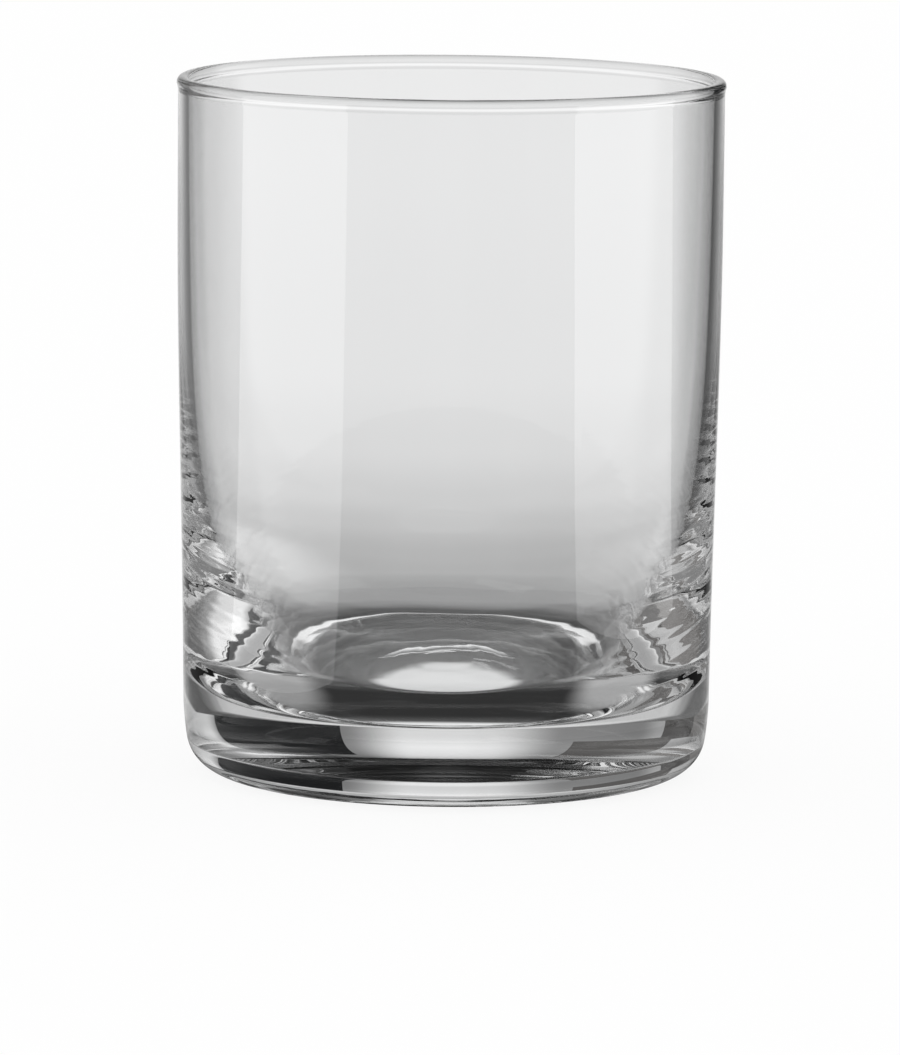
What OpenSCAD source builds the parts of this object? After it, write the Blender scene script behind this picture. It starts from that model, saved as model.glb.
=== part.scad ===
// Rocks glass: a straight-sided tumbler with a thick solid base, a wall that thickens on the
// inside towards the base, and a fire-polished bead for a rim. Millimetres, standing on the
// table at z = 0, with the axis of the glass on z.

/* [Outside] */
// Height from the table to the top of the rim
glass_h = 105; // [80:1:140]
// Outside diameter of the straight stretch under the rim
top_d = 82; // [70:1:100]
// Outside diameter that the wall tapers to at the base
base_d = 79.6; // [66:0.2:90]
// Length of the straight stretch under the rim, before the taper
straight_h = 20; // [5:1:45]
// Height above the table at which the taper ends
taper_z = 4; // [0:1:20]
// Height over which the outside also draws in towards the heel
draw_h = 12; // [9:0.5:20]
// Slope of the outside where it runs into the heel, from upright
heel_tilt = 8.5; // [3:0.5:15]
// Radius of the rounded heel
heel_r = 5.9; // [2:0.1:8]

/* [Rim] */
// Thickness of the rounded bead
bead_d = 2; // [1.7:0.1:4]
// Radius of the shallow neck that runs the bead into the wall
neck_r = 3; // [0.5:0.5:6]

/* [Wall] */
// Thickness of the wall under the bead
rim_t = 1.55; // [1:0.05:1.9]
// Length below the rim over which the inside stays close to upright
upright_run = 64; // [25:1:70]
// How far the inside leans in over that length
upright_lean = 0.2; // [0:0.1:2]
// Height of the shoulder, where the inside turns towards the floor
shoulder_z = 19; // [16:0.5:28]
// Thickness of the wall at the shoulder
shoulder_t = 8.8; // [6:0.2:11]
// Slope of the inside at the shoulder, from upright
shoulder_tilt = 21; // [5:1:35]
// How far the shoulder's slope carries up the wall
shoulder_up = 16; // [5:1:22]
// How far the shoulder's slope carries down towards the floor
shoulder_down = 3; // [1:0.5:5]

/* [Base] */
// Thickness of the solid base at the edge of the floor
floor_z = 10.6; // [8:0.2:14]
// Radius of the floor, where the curve at the foot of the wall runs out
floor_r = 21.4; // [14:0.2:25]
// How far that curve keeps low before it turns up to the shoulder
foot_run = 4; // [1:0.5:6]
// Depth of the dish in the floor
dish_h = 0.8; // [0.2:0.1:3]
// Radius of the shallow hollow in the middle of the underside
hollow_r = 13; // [6:0.5:28]
// Depth of that hollow
hollow_h = 0.6; // [0.2:0.1:3]

/* [Hidden] */
$fn = 192;
// Steps along the outside, and along each of the two curves of the inside
outside_steps = 32;
inside_steps = 32;

top_r = top_d / 2;
base_r = base_d / 2;
bead_r = bead_d / 2;
half_t = rim_t / 2;

// The bead is centred on the wall, and its neck is an arc that touches both
bead_x = top_r - half_t;
bead_z = glass_h - bead_r;
neck_drop = sqrt(pow(bead_r + neck_r, 2) - pow(half_t + neck_r, 2));
neck_z = bead_z - neck_drop;
neck_share = bead_r / (bead_r + neck_r);
neck_touch_x = neck_share * (half_t + neck_r);
neck_touch_z = bead_z - neck_share * neck_drop;

// Spheres that give the dish and the hollow from their radius and depth
dish_sphere_r = (floor_r * floor_r + dish_h * dish_h) / (2 * dish_h);
hollow_sphere_r = (hollow_r * hollow_r + hollow_h * hollow_h) / (2 * hollow_h);
dish_slope = asin(floor_r / dish_sphere_r);

// Outside radius at a height: base_r eases out to top_r, less the arc that draws in to the heel
taper_top_z = glass_h - straight_h;
heel_top_z = heel_r * (1 - sin(heel_tilt));
draw_arc_r = (draw_h - heel_top_z) / sin(heel_tilt);
function ease(u) = let (c = min(max(u, 0), 1)) c * c * (3 - 2 * c);
function draw_in(z) = draw_arc_r - sqrt(pow(draw_arc_r, 2) - pow(max(draw_h - z, 0), 2));
function outside_r(z) =
    base_r + (top_r - base_r) * ease((z - taper_z) / (taper_top_z - taper_z)) - draw_in(z);
function outside(z_low, z_high) = [
    for (i = [0 : outside_steps])
        let (z = z_low + (z_high - z_low) * i / outside_steps) [outside_r(z), z]
];

// The heel is an arc that touches the outside above it and the table below it
heel_x = outside_r(heel_top_z) - heel_r * cos(heel_tilt);

// The inside is two curves: from the neck to the shoulder, and on to the edge of the floor
inside_top = [top_r - rim_t, neck_z];
shoulder = [outside_r(shoulder_z) - shoulder_t, shoulder_z];
inside_foot = [floor_r, floor_z];
shoulder_line = [sin(shoulder_tilt), cos(shoulder_tilt)];
upright_point = inside_top - [upright_lean, upright_run];
foot_point = inside_foot + foot_run * [cos(dish_slope), sin(dish_slope)];
function curve(a, b, c, d) = [
    for (i = [0 : inside_steps])
        let (t = i / inside_steps, u = 1 - t)
            u * u * u * a + 3 * t * u * u * b + 3 * t * t * u * c + t * t * t * d
];
upper_inside = curve(inside_top, upright_point, shoulder + shoulder_up * shoulder_line, shoulder);
lower_inside = curve(shoulder, shoulder - shoulder_down * shoulder_line, foot_point, inside_foot);

// Solid disc with a rounded heel, dished on top and hollowed below, standing on a flat ring
module base() {
    color("lightsteelblue", 0.5)
    rotate_extrude()
    difference() {
        union() {
            polygon(concat(
                [[0, 0], [heel_x, 0], [heel_x, heel_r]],
                outside(heel_top_z, floor_z),
                [[0, floor_z]]
            ));
            intersection() {
                translate([heel_x, heel_r]) circle(heel_r);
                square([heel_x + heel_r, heel_r]);
            }
        }
        translate([0, floor_z - dish_h + dish_sphere_r]) circle(dish_sphere_r);
        translate([0, hollow_h - hollow_sphere_r]) circle(hollow_sphere_r);
    }
}

// Tube that stands on the base, upright outside and curving in to the floor inside
module wall() {
    color("lightcyan", 0.4)
    rotate_extrude()
    polygon(concat(
        outside(floor_z, neck_z),
        upper_inside,
        [for (i = [1 : inside_steps]) lower_inside[i]]
    ));
}

// Rounded bead that closes the top of the wall, with its neck
module rim() {
    color("azure", 0.5)
    rotate_extrude()
    translate([bead_x, 0])
    union() {
        translate([0, bead_z]) circle(bead_r);
        difference() {
            translate([-neck_touch_x, neck_z]) square([2 * neck_touch_x, neck_touch_z - neck_z]);
            for (side = [-1, 1])
                translate([side * (half_t + neck_r), neck_z]) circle(neck_r);
        }
    }
}

base();
wall();
rim();
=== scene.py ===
import math

import bpy
import numpy as np
from mathutils import Matrix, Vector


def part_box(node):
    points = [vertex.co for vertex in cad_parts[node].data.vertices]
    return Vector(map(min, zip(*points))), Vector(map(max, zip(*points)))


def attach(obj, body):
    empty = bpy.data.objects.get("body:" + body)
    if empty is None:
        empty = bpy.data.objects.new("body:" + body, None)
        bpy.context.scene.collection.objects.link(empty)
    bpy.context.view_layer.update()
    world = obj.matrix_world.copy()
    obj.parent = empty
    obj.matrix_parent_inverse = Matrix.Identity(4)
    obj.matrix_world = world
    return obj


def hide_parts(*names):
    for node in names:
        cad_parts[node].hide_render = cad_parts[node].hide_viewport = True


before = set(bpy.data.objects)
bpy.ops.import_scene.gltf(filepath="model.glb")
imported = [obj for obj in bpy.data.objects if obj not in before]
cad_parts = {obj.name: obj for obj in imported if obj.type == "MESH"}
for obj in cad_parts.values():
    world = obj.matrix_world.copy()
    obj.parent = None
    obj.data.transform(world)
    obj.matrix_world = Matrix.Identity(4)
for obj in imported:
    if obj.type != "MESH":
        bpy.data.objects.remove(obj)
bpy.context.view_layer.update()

# Base
# The thick solid disc at the foot of the glass, of clear soda-lime glass: a rounded heel, a flat ring to
# stand on round a small hollow, and a slightly dished floor with the plunger's rings in it. It is fused
# to the wall, so nothing shows where the two meet.

base_r = 0.0398
taper_z = 0.004
straight_h = 0.020
draw_h = 0.012
heel_r = 0.0059
heel_tilt = math.radians(8.5)
hollow_r = 0.013
hollow_h = 0.0006
floor_r = 0.0214
dish_h = 0.0008
floor_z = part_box("base")[1].z
top_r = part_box("wall")[1].x
glass_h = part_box("rim")[1].z

# Points round the axis, the radius under which a point is on it, and the least radius for slopes round it
turns = 256
axis_r = 1e-9
slope_r = 1e-4

# Length over which waves die out towards a joint, radius over which the floor's rings set in from the
# axis, and place and size of its shear mark
joint_fade = 0.002
ring_start_r = 0.006
mark_x = 0.0006
mark_y = -0.0004
mark_r = 0.0013

glass_index = 1.52
smear_scale = 140
smear_detail = 4
smear_from = 0.62
smear_to = 0.80
smear_roughness = 0.03
base_tint = (0.865, 0.87, 0.872)

heel_top_z = heel_r * (1 - math.sin(heel_tilt))
draw_arc_r = (draw_h - heel_top_z) / math.sin(heel_tilt)


def ease(u):
    """Eases from 0 to 1 while u goes from 0 to 1."""
    u = np.clip(u, 0, 1)
    return u * u * (3 - 2 * u)


def outside_r(z):
    """Outside radius at a height: a slight taper, less the arc that draws in to the heel."""
    draw_in = draw_arc_r - np.sqrt(draw_arc_r ** 2 - np.clip(draw_h - z, 0, None) ** 2)
    return base_r + (top_r - base_r) * ease((z - taper_z) / (glass_h - straight_h - taper_z)) - draw_in


def outside(z_low, z_high, steps):
    """The outside of the glass between two heights, as radius and height."""
    z = np.linspace(z_low, z_high, steps)
    return np.stack([outside_r(z), z], 1)


def arc(middle, radius, start, end, steps):
    """An arc round a point of the section, between two angles in radians."""
    turn = np.linspace(start, end, steps)
    return np.stack([middle[0] + radius * np.cos(turn), middle[1] + radius * np.sin(turn)], 1)


def cap(radius, depth, edge_z, steps):
    """A shallow spherical dome from the axis out to its edge, or a dish where the depth is negative."""
    sphere_r = (radius ** 2 + depth ** 2) / (2 * abs(depth))
    r = np.linspace(0, radius, steps)
    rise = np.sqrt(sphere_r ** 2 - r ** 2) - (sphere_r - abs(depth))
    return np.stack([r, edge_z + math.copysign(1, depth) * rise], 1)


def turned(run, waves):
    """One run of the section turned round the axis, as points and normals.

    Where there are waves, the surface is pushed out by waves(r, z, angle).
    """
    angle = np.linspace(0, 2 * np.pi, turns, endpoint=False)[None, :]
    r, z = run[:, :1], run[:, 1:]
    along = np.gradient(run, axis=0, edge_order=2)
    along /= np.linalg.norm(along, axis=1)[:, None]
    push = waves(r, z, angle) if waves else np.zeros((len(run), turns))
    walked = np.concatenate([[0], np.cumsum(np.linalg.norm(np.diff(run, axis=0), axis=1))])
    slope_along = np.gradient(push, walked, axis=0)
    step_round = 4 * np.pi / turns * np.maximum(r, slope_r)
    slope_round = (np.roll(push, -1, 1) - np.roll(push, 1, 1)) / step_round
    out_r, out_z = along[:, 1:], -along[:, :1]
    normal_r = out_r - slope_along * along[:, :1]
    normal_z = out_z - slope_along * along[:, 1:]
    points = np.stack([
        (r + push * out_r) * np.cos(angle),
        (r + push * out_r) * np.sin(angle),
        z + push * out_z,
    ], 2)
    normals = np.stack([
        normal_r * np.cos(angle) + slope_round * np.sin(angle),
        normal_r * np.sin(angle) - slope_round * np.cos(angle),
        normal_z,
    ], 2)
    return points, normals / np.linalg.norm(normals, axis=2)[:, :, None]


def empty_material(name):
    """A material that has only its output."""
    material = bpy.data.materials.new(name)
    material.use_nodes = True
    material.node_tree.nodes.remove(material.node_tree.nodes["Principled BSDF"])
    return material


def show(material, shader):
    """Makes a shader node the surface of its material."""
    output = material.node_tree.nodes["Material Output"]
    material.node_tree.links.new(shader.outputs[0], output.inputs["Surface"])


fused_joint = empty_material("fused_joint")
show(fused_joint, fused_joint.node_tree.nodes.new("ShaderNodeBsdfTransparent"))


def revolve(name, runs, material, fused, waves):
    """Turns the runs of a closed section round the axis.

    The runs whose numbers are in fused are see-through, and waves has the waves of a run by its number.
    """
    points, faces, kinds, normals, rings = [], [], [], [], []
    for number, run in enumerate(runs):
        grid, normal = turned(run, waves.get(number))
        for i in range(len(run)):
            if i == 0 and rings:
                rings.append(rings[-1])
            elif run[i, 0] < axis_r:
                rings.append([len(points)])
                points.append(grid[i, 0])
            elif number == len(runs) - 1 and i == len(run) - 1 and runs[0][0, 0] > axis_r:
                rings.append(rings[0])
            else:
                rings.append(list(range(len(points), len(points) + turns)))
                points.extend(grid[i])
        first = len(rings) - len(run)
        for i in range(len(run) - 1):
            low, high = rings[first + i], rings[first + i + 1]
            for k in range(turns):
                n = (k + 1) % turns
                if len(low) == 1:
                    faces.append((low[0], high[n], high[k]))
                    normals += [normal[i, k], normal[i + 1, n], normal[i + 1, k]]
                elif len(high) == 1:
                    faces.append((low[k], low[n], high[0]))
                    normals += [normal[i, k], normal[i, n], normal[i + 1, k]]
                else:
                    faces.append((low[k], low[n], high[n], high[k]))
                    normals += [normal[i, k], normal[i, n], normal[i + 1, n], normal[i + 1, k]]
                kinds.append(1 if number in fused else 0)
    mesh = bpy.data.meshes.new(name)
    mesh.from_pydata([tuple(p) for p in points], [], faces)
    mesh.materials.append(material)
    mesh.materials.append(fused_joint)
    mesh.polygons.foreach_set("material_index", kinds)
    mesh.polygons.foreach_set("use_smooth", [True] * len(faces))
    mesh.update()
    mesh.normals_split_custom_set([tuple(n) for n in normals])
    piece = bpy.data.objects.new(name, mesh)
    bpy.context.scene.collection.objects.link(piece)
    return piece


def clear_glass(name, tint):
    """Clear glass whose polish varies a little, as washing and handling leave it."""
    material = bpy.data.materials.new(name)
    material.use_nodes = True
    nodes, links = material.node_tree.nodes, material.node_tree.links
    shader = nodes["Principled BSDF"]
    shader.inputs["Base Color"].default_value = (*tint, 1)
    shader.inputs["IOR"].default_value = glass_index
    shader.inputs["Transmission Weight"].default_value = 1.0
    place = nodes.new("ShaderNodeTexCoord")
    smear = nodes.new("ShaderNodeTexNoise")
    smear.inputs["Scale"].default_value = smear_scale
    smear.inputs["Detail"].default_value = smear_detail
    polish = nodes.new("ShaderNodeMapRange")
    polish.inputs["From Min"].default_value = smear_from
    polish.inputs["From Max"].default_value = smear_to
    polish.inputs["To Max"].default_value = smear_roughness
    links.new(place.outputs["Object"], smear.inputs["Vector"])
    links.new(smear.outputs["Fac"], polish.inputs["Value"])
    links.new(polish.outputs["Result"], shader.inputs["Roughness"])
    return material


def wave(height, along, gap, shift):
    """A wave along a way, of a height and with its crests a gap apart, shifted by an angle in radians."""
    return height * np.sin(2 * np.pi * along / gap + shift)


def off_joint(distance):
    """0 at a joint and 1 well away from it."""
    return 1 - np.exp(-(distance / joint_fade) ** 2)


def floor_waves(r, z, angle):
    """Rings and a lean that the plunger leaves in the floor, and its faint shear mark near the middle."""
    x, y = r * np.cos(angle), r * np.sin(angle)
    rings = wave(15e-6, r, 0.0046, 0.7 * np.sin(2 * angle) + 0.6)
    fine_rings = wave(3e-6, r, 0.0017, 1.2 * np.sin(3 * angle))
    leaning = wave(18e-6, 0.8 * x + 0.6 * y, 0.013, 0)
    mark = 22e-6 * np.exp(-((x - mark_x) ** 2 + (y - mark_y) ** 2) / mark_r ** 2)
    return off_joint(floor_r - r) * (ease(r / ring_start_r) * (rings + fine_rings) + leaning + mark)


side = outside(heel_top_z, floor_z, 24)
heel_x = side[0, 0] - heel_r * math.cos(heel_tilt)
base = revolve("solid_base", [
    cap(hollow_r, hollow_h, 0, 40),
    np.linspace((hollow_r, 0), (heel_x, 0), 6),
    arc((heel_x, heel_r), heel_r, -math.pi / 2, -heel_tilt, 48),
    side,
    np.linspace(side[-1], (floor_r, floor_z), 6),
    cap(floor_r, -dish_h, floor_z, 90)[::-1],
], clear_glass("base_glass", base_tint), fused={4}, waves={5: floor_waves})
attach(base, "root")
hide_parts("base")

# Wall
# The blown tube on top of the base, almost straight outside, and inside thickening in a long curve down
# to a shoulder and then turning in to the floor. It is clear glass too, fused to the base below and to
# the bead above, with ripples on the inside that grow towards the foot.

rim_t = 0.00155
upright_run = 0.064
upright_lean = 0.0002
shoulder_z = 0.019
shoulder_t = 0.0088
shoulder_tilt = math.radians(21)
shoulder_up = 0.016
shoulder_down = 0.003
foot_run = 0.004
neck_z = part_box("rim")[0].z
wall_tint = (0.986, 0.988, 0.989)

# The ripples grow downwards from a height, fine rings lie in a band, and the foot has rings of its own
ripple_top_z = 0.056
ripple_fade_h = 0.036
ring_band_z = 0.047
ring_band_h = 0.012
foot_ring_top_z = 0.020
foot_ring_fade_h = 0.004


def curve(a, b, c, d, steps):
    """A curve from a to d that starts towards b and arrives from c."""
    t = np.linspace(0, 1, steps)[:, None]
    return (1 - t) ** 3 * a + 3 * t * (1 - t) ** 2 * b + 3 * t * t * (1 - t) * c + t ** 3 * d


def wall_waves(r, z, angle):
    """Ripples of the inside: rings, slanting streaks and slow swells, none at the joints."""
    low = ease((ripple_top_z - z) / ripple_fade_h)
    in_band = np.exp(-((z - ring_band_z) / ring_band_h) ** 2)
    rings = in_band * wave(3.2e-6, z, 0.0008, 1.3 * np.sin(angle + 0.5))
    streaks = wave(9e-6, z, 0.0024, -22 * np.sin(angle))
    thin_streaks = wave(4.5e-6, z, 0.0015, 2 * np.sin(3 * angle) - 31 * np.sin(angle))
    near_foot = ease((foot_ring_top_z - z) / foot_ring_fade_h)
    foot_rings = near_foot * wave(4e-6, r, 0.0019, 1.5 * np.sin(2 * angle))
    swell = 13e-6 * np.sin(7 * angle + 300 * z) + 8e-6 * np.sin(11 * angle - 420 * z + 1.0)
    at_sides = 0.12 + 0.88 * np.cos(angle) ** 4
    fine = low * at_sides * (rings + streaks + thin_streaks)
    return off_joint(z - floor_z) * (fine + foot_rings + low ** 2 * swell)


dish_sphere_r = (floor_r ** 2 + dish_h ** 2) / (2 * dish_h)
dish_slope = math.asin(floor_r / dish_sphere_r)
inside_top = np.array([top_r - rim_t, neck_z])
shoulder = np.array([outside_r(shoulder_z) - shoulder_t, shoulder_z])
inside_foot = np.array([floor_r, floor_z])
shoulder_line = np.array([math.sin(shoulder_tilt), math.cos(shoulder_tilt)])
upright_point = inside_top - np.array([upright_lean, upright_run])
foot_point = inside_foot + foot_run * np.array([math.cos(dish_slope), math.sin(dish_slope)])
inside = np.concatenate([
    curve(inside_top, upright_point, shoulder + shoulder_up * shoulder_line, shoulder, 560),
    curve(shoulder, shoulder - shoulder_down * shoulder_line, foot_point, inside_foot, 90)[1:],
])
tube = np.concatenate([outside(floor_z, draw_h, 6), outside(draw_h, neck_z, 60)[1:]])
wall = revolve("blown_wall", [
    np.linspace(inside_foot, tube[0], 6),
    tube,
    np.linspace(tube[-1], inside_top, 4),
    inside,
], clear_glass("wall_glass", wall_tint), fused={0, 2}, waves={3: wall_waves})
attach(wall, "root")
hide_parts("wall")

# Rim
# The bead that fire-polishing leaves where the glass was cut from its cap, with a shallow neck that runs
# it into the wall. It is as clear as the wall and fused to it.

bead_r = 0.001
neck_r = 0.003
half_t = rim_t / 2
bead_x = top_r - half_t
bead_z = glass_h - bead_r
neck_drop = math.sqrt((bead_r + neck_r) ** 2 - (half_t + neck_r) ** 2)
neck_turn = math.asin(neck_drop / (bead_r + neck_r))
bead = revolve("rim_bead", [
    np.linspace(inside_top, (top_r, neck_z), 4),
    arc((top_r + neck_r, neck_z), neck_r, math.pi, math.pi - neck_turn, 10),
    arc((bead_x, bead_z), bead_r, -neck_turn, math.pi + neck_turn, 48),
    arc((top_r - rim_t - neck_r, neck_z), neck_r, neck_turn, 0, 10),
], clear_glass("rim_glass", wall_tint), fused={0}, waves={})
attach(bead, "root")
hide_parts("rim")

# Studio
# A white floor and backdrop for the camera. In the glass, as for photographs of clear glass, the floor
# has a painted shadow round its foot, painted shade at its sides and front and painted pools of light
# under and beside the foot, and the backdrop is lightest straight behind and far to the right. Panels
# lying at the sides give the two white bands, and standing cards the dark and light fields of the base.

# How light the floor is in the glass, by distance from the axis: a painted shadow round the foot that
# lightens outwards to plain pale floor
floor_painted_shadow_by_reach = [
    (0.034, 0.03), (0.0405, 0.12), (0.046, 0.38), (0.060, 0.42), (0.074, 0.48), (0.088, 0.51),
    (0.115, 0.60), (0.150, 0.68), (0.240, 0.765), (0.400, 0.815), (0.900, 0.845),
]
# The floor also gets painted shade by its bearing from a point at each side, in degrees, for the edges of
# the glass
left_painted_shade_from = (-0.045, 0, 0)
left_painted_shade = [
    (-80, 1.00), (-62, 0.18), (-28, 0.20), (-18, 0.56), (-12, 0.86), (-8, 1.06), (-4, 1.00),
]
right_painted_shade_from = (0.045, 0, 0)
right_painted_shade = [
    (4, 1.00), (10, 0.86), (12.5, 0.56), (20, 0.27), (29, 0.10), (60, 0.09), (74, 1.00),
]
# Painted pools of light on the floor, under and beside the foot: the middle of each, and what it adds by
# distance from there
painted_light_spots = [
    ((0, -0.006, 0), [(0.0105, 0.84), (0.0135, 0.05), (0.018, 0)]),
    ((0.034, -0.012, 0), [(0.008, 0.40), (0.016, 0)]),
    ((-0.033, -0.012, 0), [(0.008, 0.30), (0.016, 0)]),
    ((-0.050, 0.060, 0), [(0.014, 0.22), (0.036, 0)]),
    ((0.054, 0.062, 0), [(0.010, 0.10), (0.034, 0)]),
]
# Where the glass mirrors the floor, its front has painted shade
front_painted_shade = [(-150, 0.2), (-90, 0.3), (-55, 1.0), (55, 1.0), (90, 0.3), (150, 0.2)]
# How light the backdrop is in the glass, by height above the horizon and by bearing, in degrees
backdrop_by_height = [(0, 0.74), (5, 0.78), (14, 1.00), (34, 0.92), (46, 0.25), (56, 0.03)]
backdrop_by_bearing = [
    (-155, 0.45), (-130, 0.25), (-105, 0.25), (-90, 0.55), (-44, 0.50), (-36, 0.28), (-19, 0.32),
    (-6, 0.95), (-2, 1.00), (5, 1.00), (16, 0.28), (26, 0.15), (48, 0.12), (57, 1.00), (78, 0.95),
    (92, 0.40), (105, 0.22), (130, 0.25), (155, 0.45),
]
neutral = (1, 1, 1)
cool = (0.91, 0.955, 1.0)
warm = (1.0, 0.965, 0.94)
panel_far = 3.0
flag_distance = 1.5
floor_half = 6.0
floor_grey = (0.95, 0.95, 0.95, 1)
floor_matt_share = 0.1
# The floor lies just under the glass and the panels just over the floor, so that no two faces coincide
floor_level = -0.0002
panel_level = 0.0002


def combined(tree, operation, first, second):
    """What a math node makes of two values."""
    node = tree.nodes.new("ShaderNodeMath")
    node.operation = operation
    tree.links.new(first, node.inputs[0])
    tree.links.new(second, node.inputs[1])
    return node.outputs[0]


def in_radians(stops):
    return [(math.radians(turn), level) for turn, level in stops]


def follow(tree, value, stops):
    """A level that follows a value smoothly through a list of (value, level) stops."""
    level = None
    for (start, before), (end, after) in zip(stops, stops[1:]):
        step = tree.nodes.new("ShaderNodeMapRange")
        step.interpolation_type = "SMOOTHSTEP"
        step.inputs["From Min"].default_value = start
        step.inputs["From Max"].default_value = end
        step.inputs["To Min"].default_value = 0 if level else before
        step.inputs["To Max"].default_value = after - before if level else after
        tree.links.new(value, step.inputs["Value"])
        level = combined(tree, "ADD", level, step.outputs["Result"]) if level else step.outputs["Result"]
    return level


def follow_bearing(tree, direction, stops, origin=(0, 0, 0)):
    """A level by bearing from a point, in degrees from straight behind the glass, right positive."""
    moved = tree.nodes.new("ShaderNodeVectorMath")
    moved.operation = "SUBTRACT"
    moved.inputs[1].default_value = origin
    tree.links.new(direction, moved.inputs[0])
    split = tree.nodes.new("ShaderNodeSeparateXYZ")
    tree.links.new(moved.outputs["Vector"], split.inputs[0])
    bearing = combined(tree, "ARCTAN2", split.outputs["X"], split.outputs["Y"])
    return follow(tree, bearing, in_radians(stops))


def reach_from(tree, place, point):
    """Distance of a place on the floor from a point."""
    node = tree.nodes.new("ShaderNodeVectorMath")
    node.operation = "DISTANCE"
    node.inputs[1].default_value = point
    tree.links.new(place, node.inputs[0])
    return node.outputs["Value"]


def in_glass(tree, path):
    """1 for what the glass mirrors or lets through, and 0 for what the camera sees directly."""
    return combined(tree, "MAXIMUM", path.outputs["Is Glossy Ray"], path.outputs["Is Transmission Ray"])


def stage_plane(name, corners, material):
    """A four-cornered plane of the studio."""
    mesh = bpy.data.meshes.new(name)
    mesh.from_pydata(corners, [], [(0, 1, 2, 3)])
    mesh.materials.append(material)
    plane = bpy.data.objects.new(name, mesh)
    bpy.context.scene.collection.objects.link(plane)
    return plane


def spot(turn, distance, z):
    """A point at a bearing in degrees, a distance from the axis and a height."""
    a = math.radians(turn)
    return (distance * math.sin(a), distance * math.cos(a), z)


def light_card(name, corners, strength, tint):
    """A card that only reflections and refractions show."""
    material = empty_material(name)
    glow = material.node_tree.nodes.new("ShaderNodeEmission")
    glow.inputs["Color"].default_value = (*tint, 1)
    glow.inputs["Strength"].default_value = strength
    show(material, glow)
    card = stage_plane(name, corners, material)
    card.visible_camera = False
    card.visible_diffuse = False
    card.visible_shadow = False
    return card


def standing_card(name, turn_from, turn_to, distance, low, high, strength, tint):
    """A card that stands across a range of bearings, between two heights."""
    light_card(name, [
        spot(turn_from, distance, low), spot(turn_to, distance, low),
        spot(turn_to, distance, high), spot(turn_from, distance, high),
    ], strength, tint)


def lying_panel(name, turn_from, turn_to, near, far, strength):
    """A bright panel that lies beside the glass and shows only as a reflection on its outside."""
    panel = light_card(name, [
        spot(turn_from, near, panel_level), spot(turn_to, near, panel_level),
        spot(turn_to, far, panel_level), spot(turn_from, far, panel_level),
    ], strength, neutral)
    panel.visible_transmission = False


lying_panel("right_panel", 75, 128, 0.226, panel_far, 1.75)
lying_panel("right_strip", 75, 128, 0.183, 0.226, 1.5)
lying_panel("left_panel", -84, -137, 0.160, panel_far, 1.6)
lying_panel("left_strip", -84, -137, 0.135, 0.160, 1.1)
standing_card("right_flag", 15.5, 50, flag_distance, 0.0, 0.75, 0.015, cool)
standing_card("left_flag", -44, -62, flag_distance, 0.0, 0.32, 0.08, warm)
standing_card("left_high_flag", -20, -50, flag_distance, 0.26, 0.85, 0.12, warm)
standing_card("left_low_flag", -62, -112, flag_distance, 0.0, 0.32, 0.22, warm)
standing_card("right_overhead", 85, 112, 0.56, 0.42, 0.66, 0.55, neutral)
standing_card("left_overhead", -105, -155, 0.46, 0.52, 0.76, 0.80, neutral)

floor_material = empty_material("pale_floor")
tree = floor_material.node_tree
place = tree.nodes.new("ShaderNodeTexCoord").outputs["Object"]
# The floor as the glass shows it: a painted shadow round the foot, painted shade by bearing and painted
# pools of light
painted_floor_light_and_shade = follow(tree, reach_from(tree, place, (0, 0, 0)), floor_painted_shadow_by_reach)
painted_floor_light_and_shade = combined(tree, "MULTIPLY", painted_floor_light_and_shade, follow_bearing(tree, place, left_painted_shade, left_painted_shade_from))
painted_floor_light_and_shade = combined(tree, "MULTIPLY", painted_floor_light_and_shade, follow_bearing(tree, place, right_painted_shade, right_painted_shade_from))
for middle, stops in painted_light_spots:
    painted_floor_light_and_shade = combined(tree, "ADD", painted_floor_light_and_shade, follow(tree, reach_from(tree, place, middle), stops))
# Painted shade on the front of the floor, where the glass mirrors it
mirrored_with_painted_shade = combined(tree, "MULTIPLY", painted_floor_light_and_shade, follow_bearing(tree, place, front_painted_shade))
path = tree.nodes.new("ShaderNodeLightPath")
by_kind = tree.nodes.new("ShaderNodeMapRange")
tree.links.new(path.outputs["Is Transmission Ray"], by_kind.inputs["Value"])
tree.links.new(mirrored_with_painted_shade, by_kind.inputs["To Min"])
tree.links.new(painted_floor_light_and_shade, by_kind.inputs["To Max"])
through_glass = tree.nodes.new("ShaderNodeEmission")
tree.links.new(by_kind.outputs["Result"], through_glass.inputs["Strength"])
white = tree.nodes.new("ShaderNodeEmission")
matt = tree.nodes.new("ShaderNodeBsdfDiffuse")
matt.inputs["Color"].default_value = floor_grey
white_floor = tree.nodes.new("ShaderNodeMixShader")
white_floor.inputs["Fac"].default_value = floor_matt_share
tree.links.new(white.outputs[0], white_floor.inputs[1])
tree.links.new(matt.outputs[0], white_floor.inputs[2])
seen = tree.nodes.new("ShaderNodeMixShader")
tree.links.new(in_glass(tree, path), seen.inputs["Fac"])
tree.links.new(white_floor.outputs[0], seen.inputs[1])
tree.links.new(through_glass.outputs[0], seen.inputs[2])
show(floor_material, seen)
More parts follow.
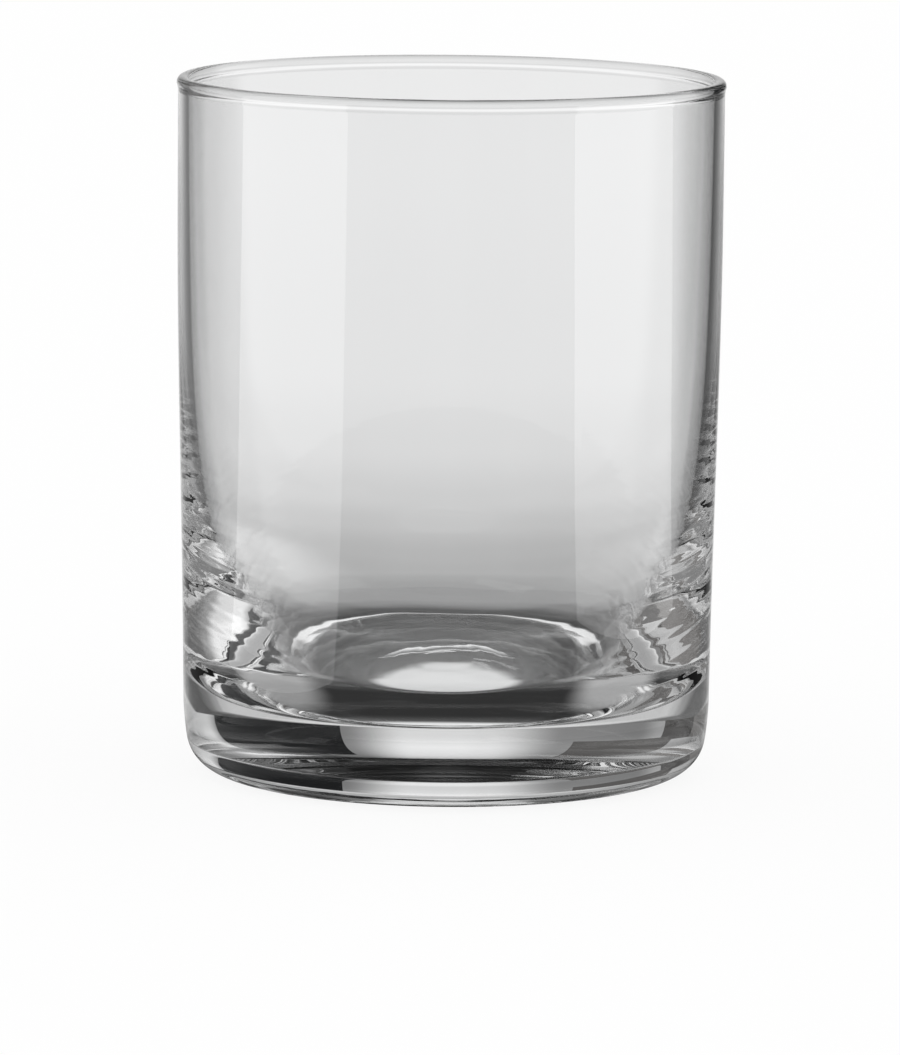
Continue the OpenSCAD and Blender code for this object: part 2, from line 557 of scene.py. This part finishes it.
stage_plane("floor", [
    (-floor_half, -floor_half, floor_level), (floor_half, -floor_half, floor_level),
    (floor_half, floor_half, floor_level), (-floor_half, floor_half, floor_level),
], floor_material)

world = bpy.data.worlds.new("soft_studio")
bpy.context.scene.world = world
world.use_nodes = True
tree = world.node_tree
direction = tree.nodes.new("ShaderNodeTexCoord").outputs["Generated"]
split = tree.nodes.new("ShaderNodeSeparateXYZ")
tree.links.new(direction, split.inputs[0])
lift = tree.nodes.new("ShaderNodeMath")
lift.operation = "ARCSINE"
tree.links.new(split.outputs["Z"], lift.inputs[0])
by_height = follow(tree, lift.outputs[0], in_radians(backdrop_by_height))
backdrop = combined(tree, "MULTIPLY", by_height, follow_bearing(tree, direction, backdrop_by_bearing))
level = tree.nodes.new("ShaderNodeMapRange")
level.inputs["To Min"].default_value = 1.0
tree.links.new(in_glass(tree, tree.nodes.new("ShaderNodeLightPath")), level.inputs["Value"])
tree.links.new(backdrop, level.inputs["To Max"])
tree.nodes["Background"].inputs["Color"].default_value = (*neutral, 1)
tree.links.new(level.outputs["Result"], tree.nodes["Background"].inputs["Strength"])

# Camera
# A long lens about a metre away, a little above the rim. Its place, tilt and focal length were fitted to
# the outline of the glass in the photograph. The sensor's width spans the longer side, the height.

camera_distance = 1.1338
camera_height = 0.2004
camera_pitch = math.radians(8.2146)
camera_roll = math.radians(0.5322)
camera_pan = math.radians(-0.0181)
focal_px = 7579.3
image_h_px = 1055
lens = bpy.data.cameras.new("camera")
lens.sensor_width = 36
lens.lens = focal_px * lens.sensor_width / image_h_px
camera = bpy.data.objects.new("camera", lens)
bpy.context.scene.collection.objects.link(camera)
camera.matrix_world = (
    Matrix.Translation((0, -camera_distance, camera_height))
    @ Matrix.Rotation(camera_pan, 4, "Z")
    @ Matrix.Rotation(math.radians(90) - camera_pitch, 4, "X")
    @ Matrix.Rotation(camera_roll, 4, "Z")
)
bpy.context.scene.camera = camera

scene = bpy.context.scene
scene.view_settings.view_transform = "Standard"
scene.cycles.max_bounces = 32
scene.cycles.transmission_bounces = 32
scene.cycles.glossy_bounces = 24
scene.cycles.transparent_max_bounces = 64
